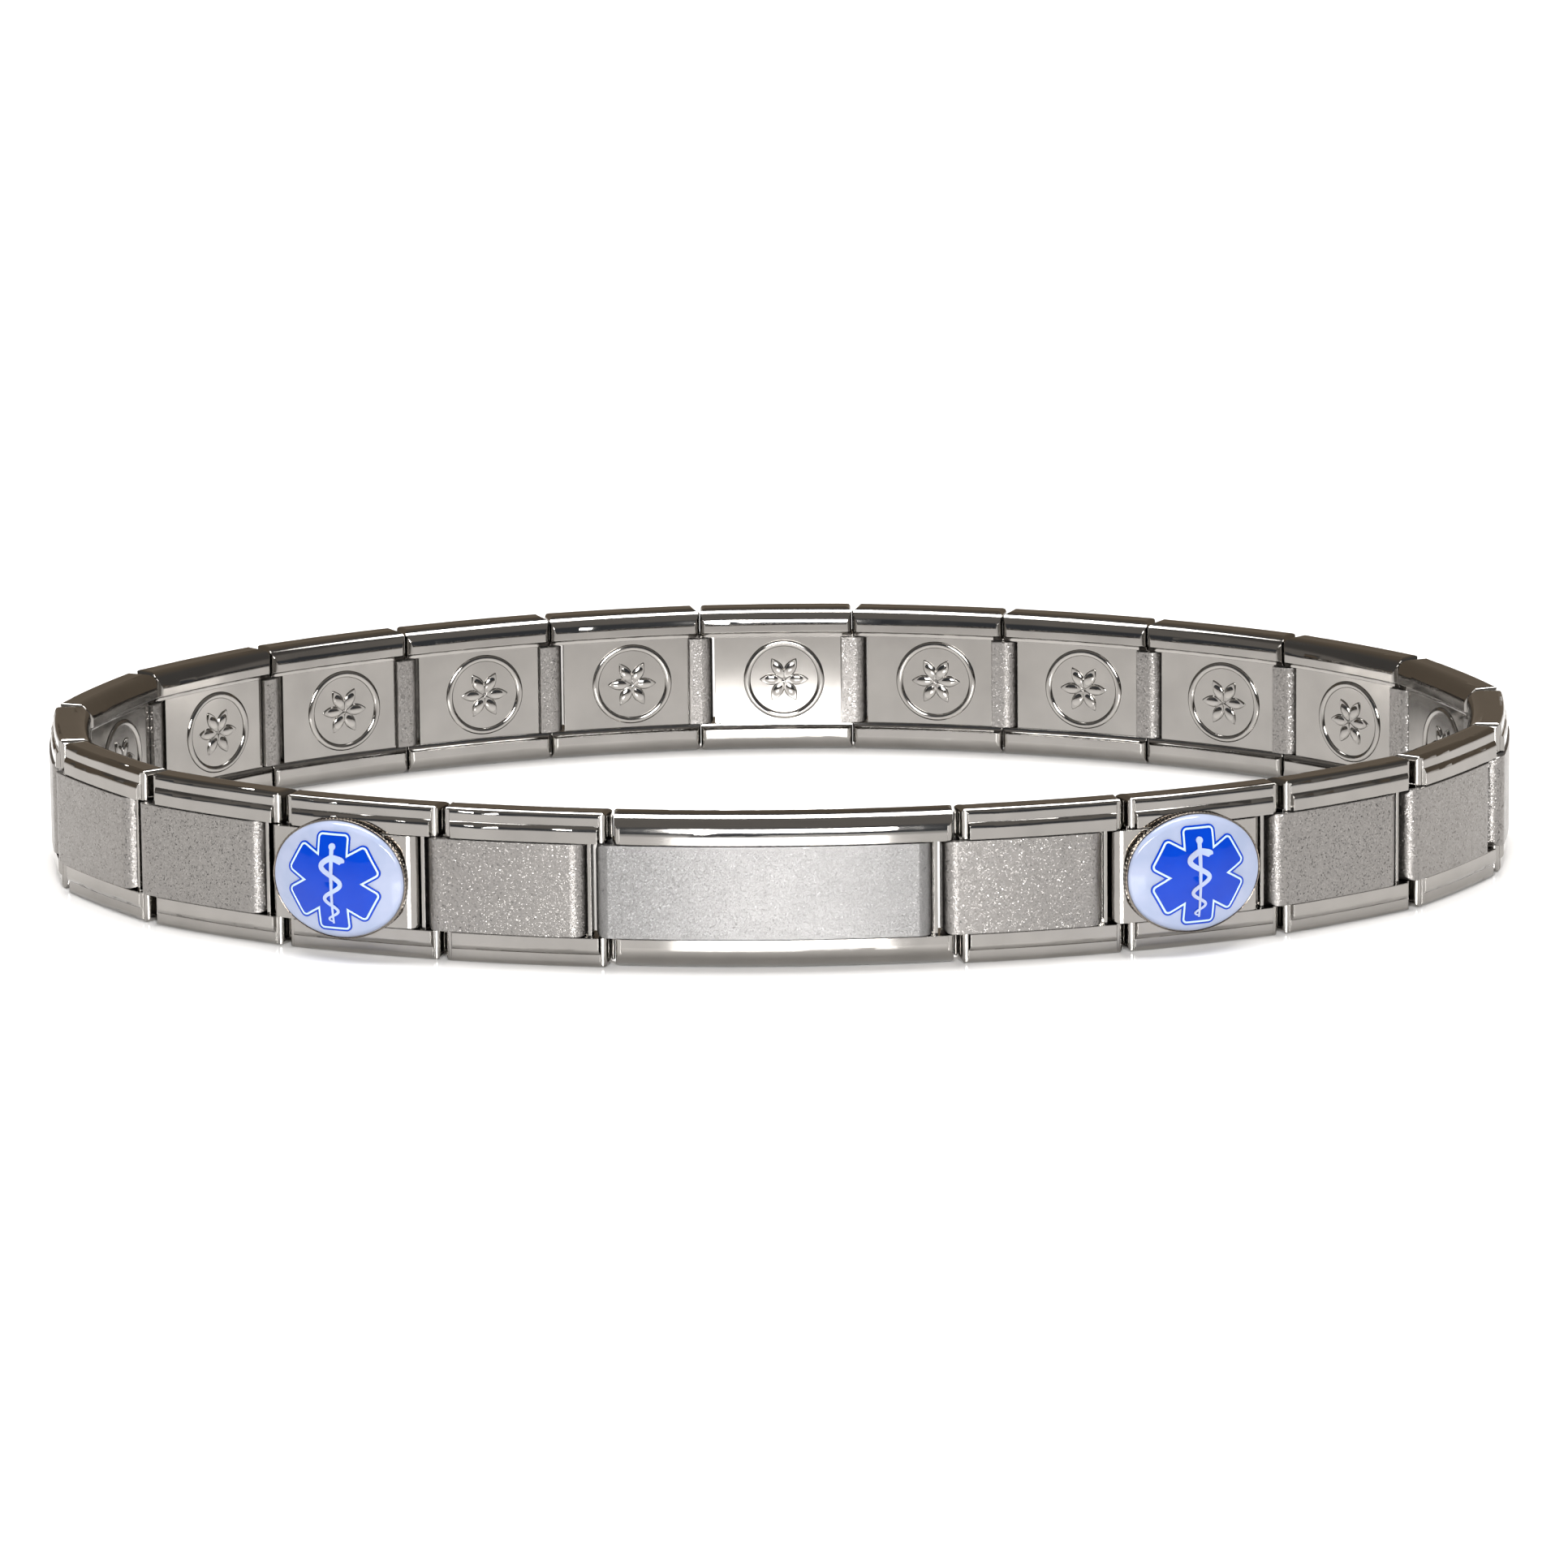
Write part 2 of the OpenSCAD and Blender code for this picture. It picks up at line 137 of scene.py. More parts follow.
def add_node(tree, kind, inputs=None, stops=(), **settings):
    """A new node with its settings. Each input is a plain value or the socket it is linked from,
    and stops are the (place, colour) pairs of a colour ramp."""
    node = tree.nodes.new(kind)
    for name, value in settings.items():
        setattr(node, name, value)
    for name, value in (inputs or {}).items():
        if isinstance(value, bpy.types.NodeSocket):
            tree.links.new(value, node.inputs[name])
        elif node.inputs[name].type == "RGBA":
            node.inputs[name].default_value = (*value[:3], 1)
        else:
            node.inputs[name].default_value = value
    for i, (place, colour) in enumerate(stops):
        elements = node.color_ramp.elements
        element = elements[i] if i < len(elements) else elements.new(place)
        element.position = place
        element.color = (*colour[:3], 1)
    return node


def new_material(name):
    """An empty node material, its tree and its surface shader."""
    material = bpy.data.materials.new(name)
    material.use_nodes = True
    tree = material.node_tree
    tree.nodes.clear()
    shader = add_node(tree, "ShaderNodeBsdfPrincipled")
    add_node(tree, "ShaderNodeOutputMaterial", {"Surface": shader.outputs["BSDF"]})
    return material, tree, shader


def pattern_scale(size_mm):
    """The scale of a pattern whose spots are this many millimetres across."""
    return 1 / (size_mm * MM)


def polished_stainless_steel(name, colour, settings):
    """Stainless steel, ground and mirror-polished: clear reflections that waver a little, faint
    wipe marks that blur them here and there, and edges that the polishing mop has rounded."""
    # Values of the noise at which the wipe marks start, and at which they and the tarnish are full
    start, wiped, dull = 0.35, 0.7, 0.75
    material, tree, shader = new_material(name)
    place = add_node(tree, "ShaderNodeTexCoord").outputs["Object"]
    wipe = add_node(
        tree,
        "ShaderNodeTexNoise",
        {"Vector": place, "Scale": pattern_scale(settings.wipe_width_mm), "Detail": 5.0},
    )
    roughness = add_node(
        tree,
        "ShaderNodeMapRange",
        {
            "Value": wipe.outputs["Fac"],
            "From Min": start,
            "From Max": wiped,
            "To Min": settings.polish_roughness,
            "To Max": settings.polish_roughness + settings.wipe_roughness,
        },
    )
    tarnish = add_node(
        tree,
        "ShaderNodeValToRGB",
        {"Fac": wipe.outputs["Fac"]},
        stops=((start, colour), (dull, tuple(settings.tarnish_share * c for c in colour))),
    )
    worn_edge = add_node(
        tree, "ShaderNodeBevel", {"Radius": settings.worn_edge_mm * MM}, samples=BEVEL_SAMPLES
    )
    waver = add_node(
        tree,
        "ShaderNodeTexNoise",
        {"Vector": place, "Scale": pattern_scale(settings.waver_width_mm), "Detail": 1.0},
    )
    bump = add_node(
        tree,
        "ShaderNodeBump",
        {
            "Height": waver.outputs["Fac"],
            "Normal": worn_edge.outputs["Normal"],
            "Distance": settings.waver_height_um * MM * MM,
        },
    )
    tree.links.new(tarnish.outputs["Color"], shader.inputs["Base Color"])
    shader.inputs["Metallic"].default_value = 1
    tree.links.new(roughness.outputs["Result"], shader.inputs["Roughness"])
    tree.links.new(bump.outputs["Normal"], shader.inputs["Normal"])
    return material


def bead_blasted_stainless_steel(name, colour, grain_mm, grain_lean, contrast, settings):
    """Stainless steel blasted with fine beads: a soft satin sheen of small dents. Each one leans
    its own way, and the few that lean towards a light glint. A dent is under 0.05 mm across, and
    it is drawn coarser so that it shows."""
    # Values of the noise at which the blotches are smoothest and roughest
    smoothest, roughest = 0.3, 0.7
    material, tree, shader = new_material(name)
    place = add_node(tree, "ShaderNodeTexCoord").outputs["Object"]
    dents = add_node(
        tree, "ShaderNodeTexVoronoi", {"Vector": place, "Scale": pattern_scale(grain_mm)}
    )
    darker = tuple((1 - contrast) * c for c in colour)
    lighter = tuple(min((1 + contrast) * c, 1) for c in colour)
    shade = add_node(
        tree,
        "ShaderNodeValToRGB",
        {"Fac": dents.outputs["Color"]},
        stops=((0.0, darker), (1.0, lighter)),
    )
    blotch = add_node(
        tree,
        "ShaderNodeTexNoise",
        {"Vector": place, "Scale": pattern_scale(settings.blotch_width_mm), "Detail": 4.0},
    )
    roughness = add_node(
        tree,
        "ShaderNodeMapRange",
        {
            "Value": blotch.outputs["Fac"],
            "From Min": smoothest,
            "From Max": roughest,
            "To Min": settings.satin_roughness - settings.blotch_roughness,
            "To Max": settings.satin_roughness + settings.blotch_roughness,
        },
    )
    # The fifth power of a cell's random colour, about its middle, leans few dents far
    centred = add_node(
        tree,
        "ShaderNodeVectorMath",
        {0: dents.outputs["Color"], 1: (2, 2, 2), 2: (-1, -1, -1)},
        operation="MULTIPLY_ADD",
    ).outputs[0]
    squared = add_node(
        tree, "ShaderNodeVectorMath", {0: centred, 1: centred}, operation="MULTIPLY"
    ).outputs[0]
    sparse = add_node(
        tree, "ShaderNodeVectorMath", {0: squared, 1: squared}, operation="MULTIPLY"
    ).outputs[0]
    lean = add_node(
        tree, "ShaderNodeVectorMath", {0: sparse, 1: centred}, operation="MULTIPLY"
    ).outputs[0]
    worn_edge = add_node(
        tree, "ShaderNodeBevel", {"Radius": settings.worn_edge_mm * MM}, samples=BEVEL_SAMPLES
    )
    leaning = add_node(
        tree,
        "ShaderNodeVectorMath",
        {0: lean, 1: (grain_lean,) * 3, 2: worn_edge.outputs["Normal"]},
        operation="MULTIPLY_ADD",
    )
    normal = add_node(
        tree, "ShaderNodeVectorMath", {0: leaning.outputs[0]}, operation="NORMALIZE"
    )
    tree.links.new(shade.outputs["Color"], shader.inputs["Base Color"])
    shader.inputs["Metallic"].default_value = 1
    tree.links.new(roughness.outputs["Result"], shader.inputs["Roughness"])
    tree.links.new(normal.outputs[0], shader.inputs["Normal"])
    return material


def cast_resin(name, colour, cloud_colour, settings):
    """Clear resin poured over a coloured ground: a deep gloss above a faintly clouded colour. The
    gloss is the shader's coat alone, because the ground lies under the resin."""
    # Values of the noise at which a cloud starts and is full
    start, full = 0.35, 0.65
    material, tree, shader = new_material(name)
    place = add_node(tree, "ShaderNodeTexCoord").outputs["Object"]
    cloud = add_node(
        tree,
        "ShaderNodeTexNoise",
        {"Vector": place, "Scale": pattern_scale(settings.cloud_width_mm), "Detail": 2.0},
    )
    tint = add_node(
        tree,
        "ShaderNodeValToRGB",
        {"Fac": cloud.outputs["Fac"]},
        stops=((start, tuple(colour)), (full, tuple(cloud_colour))),
    )
    tree.links.new(tint.outputs["Color"], shader.inputs["Base Color"])
    shader.inputs["Roughness"].default_value = RESIN_GROUND_ROUGHNESS
    shader.inputs["Specular IOR Level"].default_value = 0
    shader.inputs["Coat Weight"].default_value = 1
    shader.inputs["Coat Roughness"].default_value = settings.gloss_roughness
    shader.inputs["Coat IOR"].default_value = RESIN_COAT_IOR
    return material


def dress(node_name, material):
    """Gives a carried-over CAD node its material."""
    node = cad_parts[node_name]
    node.data.materials.clear()
    node.data.materials.append(material)


def add_piece(name, shape, material):
    """Turns a bmesh into a smooth piece that rides on the bracelet."""
    bmesh.ops.recalc_face_normals(shape, faces=shape.faces)
    mesh = bpy.data.meshes.new(name)
    shape.to_mesh(mesh)
    shape.free()
    mesh.materials.append(material)
    for face in mesh.polygons:
        face.use_smooth = True
    piece = bpy.data.objects.new(name, mesh)
    bpy.context.scene.collection.objects.link(piece)
    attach(piece, BODY)
    return piece


def loft(shape, rings, closed):
    """Joins rings of points with faces, and the last ring to the first where it is closed."""
    rows = [[shape.verts.new(point) for point in ring] for ring in rings]
    pairs = list(zip(rows, rows[1:] + rows[:1])) if closed else list(zip(rows, rows[1:]))
    for row, following in pairs:
        for i in range(len(row)):
            shape.faces.new((row[i - 1], row[i], following[i], following[i - 1]))
    return rows


def sign_place(name):
    """The middle of a dome's flat base: x along the band, y up and z outward, in metres."""
    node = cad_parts[f"dome_{name}"]
    base = max(node.data.polygons, key=lambda face: face.area)
    out = -(node.matrix_world.to_3x3() @ base.normal).normalized()
    up = Vector((0, 0, 1))
    axes = (up.cross(out), up, out)
    points = [node.matrix_world @ vertex.co for vertex in node.data.vertices]
    spans = [[axis.dot(point) for point in points] for axis in axes]
    along, height = ((min(span) + max(span)) / 2 for span in spans[:2])
    middle = along * axes[0] + height * axes[1] + min(spans[2]) * axes[2]
    return Matrix.Translation(middle) @ Matrix(axes).transposed().to_4x4()


def link_place(place, left):
    """The middle of a link: x along it, y inward and z up, in metres."""
    x, y, turn = LINK_PLACES[place]
    side = -1 if left else 1
    middle = MM * Vector((side * x, y, LINK_HEIGHT / 2))
    return Matrix.Translation(middle) @ Matrix.Rotation(math.radians(side * turn), 4, "Z")


def oval_reach(turn, half_width, half_height):
    """How far an oval of four arcs reaches from its middle in one direction."""
    end = OVAL_END_SHARE * half_height
    end_x = half_width - end
    side = (end_x**2 + half_height**2 - end**2) / (2 * (half_height - end))
    side_y = half_height - side
    across, along = abs(math.sin(turn)), abs(math.cos(turn))
    reach = side_y * across + math.sqrt(side**2 - (side_y * along) ** 2)
    if reach * along <= end_x * side / (side - end):
        return reach
    return end_x * along + math.sqrt(end**2 - (end_x * across) ** 2)


def bar_reach(turn, half_width, half_height, corner):
    """How far an upright bar with round corners reaches from its middle in one direction."""
    across, along = abs(math.sin(turn)), abs(math.cos(turn))
    reach = min(half_width / max(along, TINY), half_height / max(across, TINY))
    corner_x, corner_y = half_width - corner, half_height - corner
    if reach * along <= corner_x or reach * across <= corner_y:
        return reach
    middle = corner_x * along + corner_y * across
    return middle + math.sqrt(middle**2 - corner_x**2 - corner_y**2 + corner**2)


def star_reach(turn, margin):
    """How far the six-armed star, grown by a margin, reaches from its middle. It is three bars,
    each turned by 60 degrees from the one before."""
    half_width, half_height = (half + margin for half in STAR_HALF)
    return max(
        bar_reach(turn + math.radians(bar), half_width, half_height, STAR_CORNER + margin)
        for bar in (0, 60, 120)
    )


def ball_height(reach, rise=0.0):
    """Height of the dome, or of a ball a little larger, this far from its middle."""
    return DOME_TOP - DOME_RADIUS + math.sqrt((DOME_RADIUS + rise) ** 2 - reach**2)


class BraceletSteel(bpy.types.PropertyGroup):
    """Colours and surface of the steel finishes."""

    polish_colour: FloatVectorProperty(
        name="Polished colour",
        description="Reflected colour of the polished steel",
        subtype="COLOR",
        default=linear("#94918D"),
    )
    tarnish_share: FloatProperty(
        name="Tarnish",
        description="Brightness that is left where the polish is dullest",
        subtype="FACTOR",
        default=0.86,
        min=0,
        max=1,
    )
    polish_roughness: FloatProperty(
        name="Polish roughness",
        description="Roughness of clean polished steel",
        subtype="FACTOR",
        default=0.06,
        min=0,
        max=1,
    )
    wipe_roughness: FloatProperty(
        name="Wipe mark roughness",
        description="Roughness that wipe marks add",
        subtype="FACTOR",
        default=0.06,
        min=0,
        max=1,
    )
    wipe_width_mm: FloatProperty(
        name="Wipe mark width (mm)",
        description="Width of the wipe marks in millimetres",
        default=3,
        min=0.1,
    )
    waver_width_mm: FloatProperty(
        name="Waver width (mm)",
        description="Width of the unevenness that the polishing left, in millimetres",
        default=3,
        min=0.1,
    )
    waver_height_um: FloatProperty(
        name="Waver height (µm)",
        description="Height of that unevenness in micrometres",
        default=7,
        min=0,
    )
    worn_edge_mm: FloatProperty(
        name="Worn edge (mm)",
        description="Rounding of the edges by polishing and wear, in millimetres",
        default=0.07,
        min=0,
    )
    satin_colour: FloatVectorProperty(
        name="Satin colour",
        description="Reflected colour of the bead-blasted steel",
        subtype="COLOR",
        default=linear("#868380"),
    )
    satin_roughness: FloatProperty(
        name="Satin roughness",
        description="Mean roughness of the bead-blasted steel",
        subtype="FACTOR",
        default=0.34,
        min=0,
        max=1,
    )
    blotch_roughness: FloatProperty(
        name="Blotch roughness",
        description="Change of that roughness from blotch to blotch",
        subtype="FACTOR",
        default=0.03,
        min=0,
        max=1,
    )
    blotch_width_mm: FloatProperty(
        name="Blotch width (mm)",
        description="Width of the blotches of the blasting, in millimetres",
        default=1.2,
        min=0.1,
    )
    grain_lean: FloatProperty(
        name="Grain lean",
        description="Slope of the dents that lean the most",
        default=0.28,
        min=0,
    )
    id_grain_lean: FloatProperty(
        name="Identity plate grain lean",
        description="Slope of the identity plate's dents that lean the most",
        default=0.18,
        min=0,
    )
    grain_contrast: FloatProperty(
        name="Grain contrast",
        description="Change of brightness from dent to dent",
        subtype="FACTOR",
        default=0.03,
        min=0,
        max=1,
    )
    grain_mm: FloatProperty(
        name="Grain (mm)",
        description="Size of a dent on the single links, in millimetres",
        default=0.065,
        min=0.01,
    )
    id_grain_contrast: FloatProperty(
        name="Identity plate grain contrast",
        description="Change of brightness from dent to dent on the identity plate",
        subtype="FACTOR",
        default=0.14,
        min=0,
        max=1,
    )
    id_colour: FloatVectorProperty(
        name="Identity plate colour",
        description="Reflected colour of the identity plate",
        subtype="COLOR",
        default=linear("#7B7A79"),
    )
    id_grain_mm: FloatProperty(
        name="Identity plate grain (mm)",
        description="Size of a dent on the identity plate, in millimetres",
        default=0.055,
        min=0.01,
    )


class BraceletRelief(bpy.types.PropertyGroup):
    """Sizes of the stamps on the wrist side and of the pins between the links."""

    stamp_diameter_mm: FloatProperty(
        name="Stamp diameter (mm)",
        description="Diameter of the middle of the stamped ring, in millimetres",
        default=4.7,
    )
    stamp_line_mm: FloatProperty(
        name="Stamp line (mm)",
        description="Width of the stamped ring, in millimetres",
        default=0.44,
    )
    stamp_rise_mm: FloatProperty(
        name="Stamp rise (mm)",
        description="Height of the ring, in millimetres",
        default=0.15,
    )
    stamp_shift_mm: FloatProperty(
        name="Stamp shift (mm)",
        description="Distance of the stamp from the middle of its link, in millimetres",
        default=-0.4904,
    )
    petal_length_mm: FloatProperty(
        name="Petal length (mm)",
        description="Length of a petal of the rosette, in millimetres",
        default=1.6,
    )
    petal_width_mm: FloatProperty(
        name="Petal width (mm)",
        description="Width of a petal of the rosette, in millimetres",
        default=0.76,
    )
    petal_rise_mm: FloatProperty(
        name="Petal rise (mm)",
        description="Height of a petal of the rosette, in millimetres",
        default=0.18,
    )
    pin_share: FloatProperty(
        name="Pin share",
        description="Thickness of a pin as a share of the gap between two links",
        subtype="FACTOR",
        default=0.8,
        min=0.2,
        max=0.9,
    )
    pin_set_mm: FloatProperty(
        name="Pin set (mm)",
        description="Distance from a pin's end to the edge of the rail, in millimetres",
        default=0.3,
    )


class BraceletSign(bpy.types.PropertyGroup):
    """Colours and fine sizes of the medical sign."""

    dome_colour: FloatVectorProperty(
        name="Dome colour",
        description="Pearly ground under the resin",
        subtype="COLOR",
        default=linear("#8E95AA"),
    )
    dome_cloud_colour: FloatVectorProperty(
        name="Dome cloud colour",
        description="Second tint of the pearly ground",
        subtype="COLOR",
        default=linear("#868FA5"),
    )
    star_colour: FloatVectorProperty(
        name="Star colour",
        description="Print of the six-armed star",
        subtype="COLOR",
        default=linear("#02339C"),
    )
    star_cloud_colour: FloatVectorProperty(
        name="Star cloud colour",
        description="Second tint of the star's print",
        subtype="COLOR",
        default=linear("#023097"),
    )
    staff_colour: FloatVectorProperty(
        name="Staff colour",
        description="Print of the staff and snake",
        subtype="COLOR",
        default=linear("#93A0C2"),
    )
    band_colour: FloatVectorProperty(
        name="Band colour",
        description="Pale band between the star and its line",
        subtype="COLOR",
        default=linear("#AEC1D4"),
    )
    band_cloud_colour: FloatVectorProperty(
        name="Band cloud colour",
        description="Second tint of the pale band",
        subtype="COLOR",
        default=linear("#A6BACF"),
    )
    # The warm brown of this colour is a painted reflection on the polished steel rim
    rim_painted_reflection_colour: FloatVectorProperty(
        name="Rim colour",
        description="Reflected colour of the knurled rim",
        subtype="COLOR",
        default=linear("#8F857A"),
    )
    cloud_width_mm: FloatProperty(
        name="Cloud width (mm)",
        description="Width of the faint clouds in the print, in millimetres",
        default=1.5,
        min=0.1,
    )
    gloss_roughness: FloatProperty(
        name="Gloss roughness",
        description="Roughness of the resin's surface",
        subtype="FACTOR",
        default=0.04,
        min=0,
        max=1,
    )
    shoulder_mm: FloatProperty(
        name="Shoulder (mm)",
        description="Rounding of the dome's edge where it is highest, in millimetres",
        default=0.38,
        min=0.05,
        max=0.38,
    )
    rim_width_mm: FloatProperty(
        name="Rim width (mm)",
        description="Width of the rim around the disc, in millimetres",
        default=0.07,
        min=0.02,
        max=0.15,
    )
    knurl_depth_mm: FloatProperty(
        name="Knurl depth (mm)",
        description="Depth of the notches in the rim, in millimetres",
        default=0.035,
        min=0,
        max=0.06,
    )
    knurl_count: IntProperty(
        name="Knurls",
        description="Number of notches around the rim",
        default=96,
        min=12,
    )


class BraceletStage(bpy.types.PropertyGroup):
    """The camera, the floor and the light."""

    camera_distance: FloatProperty(
        name="Camera distance",
        description="Distance of the camera from the middle of the bracelet",
        subtype="DISTANCE",
        unit="LENGTH",
        default=0.58209,
    )
    camera_lens: FloatProperty(
        name="Lens (mm)",
        description=f"Focal length on a sensor {SENSOR_WIDTH} mm wide",
        default=219.98,
    )
    camera_elevation: FloatProperty(
        name="Camera elevation",
        description="Angle at which the camera looks down",
        subtype="ANGLE",
        unit="ROTATION",
        default=math.radians(12.594),
    )
    camera_azimuth: FloatProperty(
        name="Camera azimuth",
        description="Turn of the camera around the bracelet from straight in front",
        subtype="ANGLE",
        unit="ROTATION",
        default=math.radians(-0.3575),
    )
    camera_roll: FloatProperty(
        name="Camera roll",
        description="Tilt of the picture",
        subtype="ANGLE",
        unit="ROTATION",
        default=math.radians(-0.5804),
    )
    camera_aside: FloatProperty(
        name="Camera aside",
        description="Distance of the camera to the right of where it would look at the middle",
        subtype="DISTANCE",
        unit="LENGTH",
        default=0.000262,
    )
    camera_lower: FloatProperty(
        name="Camera lower",
        description="Distance of the camera below where it would look at the middle",
        subtype="DISTANCE",
        unit="LENGTH",
        default=0.000408,
    )
    floor_colour: FloatVectorProperty(
        name="Floor colour",
        description="Colour of the board on which the bracelet lies",
        subtype="COLOR",
        default=linear("#F4F3F2"),
    )
    floor_roughness: FloatProperty(
        name="Floor roughness",
        description="Roughness of the board's gloss",
        subtype="FACTOR",
        default=0.12,
        min=0,
        max=1,
    )
    floor_size: FloatProperty(
        name="Floor size",
        description="Width of the board",
        subtype="DISTANCE",
        unit="LENGTH",
        default=6.0,
    )
    softbox_width: FloatProperty(
        name="Softbox width",
        description="Width of the softbox overhead",
        subtype="DISTANCE",
        unit="LENGTH",
        default=2.0,
    )
    softbox_depth: FloatProperty(
        name="Softbox depth",
        description="Depth of the softbox overhead, from front to back",
        subtype="DISTANCE",
        unit="LENGTH",
        default=0.88,
    )
    softbox_back: FloatProperty(
        name="Softbox back",
        description="Distance of the softbox's middle behind the bracelet",
        subtype="DISTANCE",
        unit="LENGTH",
        default=0.4,
    )
    softbox_height: FloatProperty(
        name="Softbox height",
        description="Height of the softbox above the floor",
        subtype="DISTANCE",
        unit="LENGTH",
        default=2.2,
    )
    softbox_power: FloatProperty(
        name="Softbox power",
        description="Power of the softbox",
        subtype="POWER",
        unit="POWER",
        default=95.0,
    )
    front_width: FloatProperty(
        name="Front light width",
        description="Width of the small softbox behind the camera",
        subtype="DISTANCE",
        unit="LENGTH",
        default=0.62,
    )
    front_height: FloatProperty(
        name="Front light height",
        description="Height of the small softbox behind the camera",
        subtype="DISTANCE",
        unit="LENGTH",
        default=0.42,
    )
    front_distance: FloatProperty(
        name="Front light distance",
        description="Distance of the small softbox from the bracelet",
        subtype="DISTANCE",
        unit="LENGTH",
        default=1.5,
    )
    front_elevation: FloatProperty(
        name="Front light elevation",
        description="Angle of the small softbox above the floor",
        subtype="ANGLE",
        unit="ROTATION",
        default=math.radians(19),
    )
    front_power: FloatProperty(
        name="Front light power",
        description="Power of the small softbox",
        subtype="POWER",
        unit="POWER",
        default=32.0,
    )
    room_low_colour: FloatVectorProperty(
        name="Room in front, low",
        description="Colour of the room low down behind the camera",
        subtype="COLOR",
        default=linear("#585C62"),
    )
    room_high_colour: FloatVectorProperty(
        name="Room in front, high",
        description="Colour of the room above the camera",
        subtype="COLOR",
        default=linear("#9C9894"),
    )
    room_top_colour: FloatVectorProperty(
        name="Room overhead",
        description="Colour of the ceiling around the softbox",
        subtype="COLOR",
        default=linear("#6A6866"),
    )
    room_back_colour: FloatVectorProperty(
        name="Room at the back",
        description="Colour of the room behind the bracelet",
        subtype="COLOR",
        default=linear("#827668"),
    )


class BRACELET_OT_link_frames(bpy.types.Operator):
    """Gives the frames of all links their polished steel."""

    bl_idname = "bracelet.link_frames"
    bl_label = "Link Frames"

    def execute(self, context):
        settings = context.scene.bracelet_steel
        steel = polished_stainless_steel(
            "polished_stainless_steel", tuple(settings.polish_colour), settings
        )
        for name in LINK_NAMES:
            dress(f"frame_{name}", steel)
        for name in SIGN_LINKS:
            dress(f"plate_{name}", steel)
        return {"FINISHED"}


class BRACELET_OT_face_plates(bpy.types.Operator):
    """Gives the folded face plates their bead-blasted steel."""

    bl_idname = "bracelet.face_plates"
    bl_label = "Face Plates"

    def execute(self, context):
        settings = context.scene.bracelet_steel
        single = bead_blasted_stainless_steel(
            "bead_blasted_stainless_steel",
            tuple(settings.satin_colour),
            settings.grain_mm,
            settings.grain_lean,
            settings.grain_contrast,
            settings,
        )
        identity = bead_blasted_stainless_steel(
            "fine_blasted_stainless_steel",
            tuple(settings.id_colour),
            settings.id_grain_mm,
            settings.id_grain_lean,
            settings.id_grain_contrast,
            settings,
        )
        for name in LINK_NAMES:
            if name not in SIGN_LINKS:
                dress(f"plate_{name}", identity if name == "id" else single)
        return {"FINISHED"}


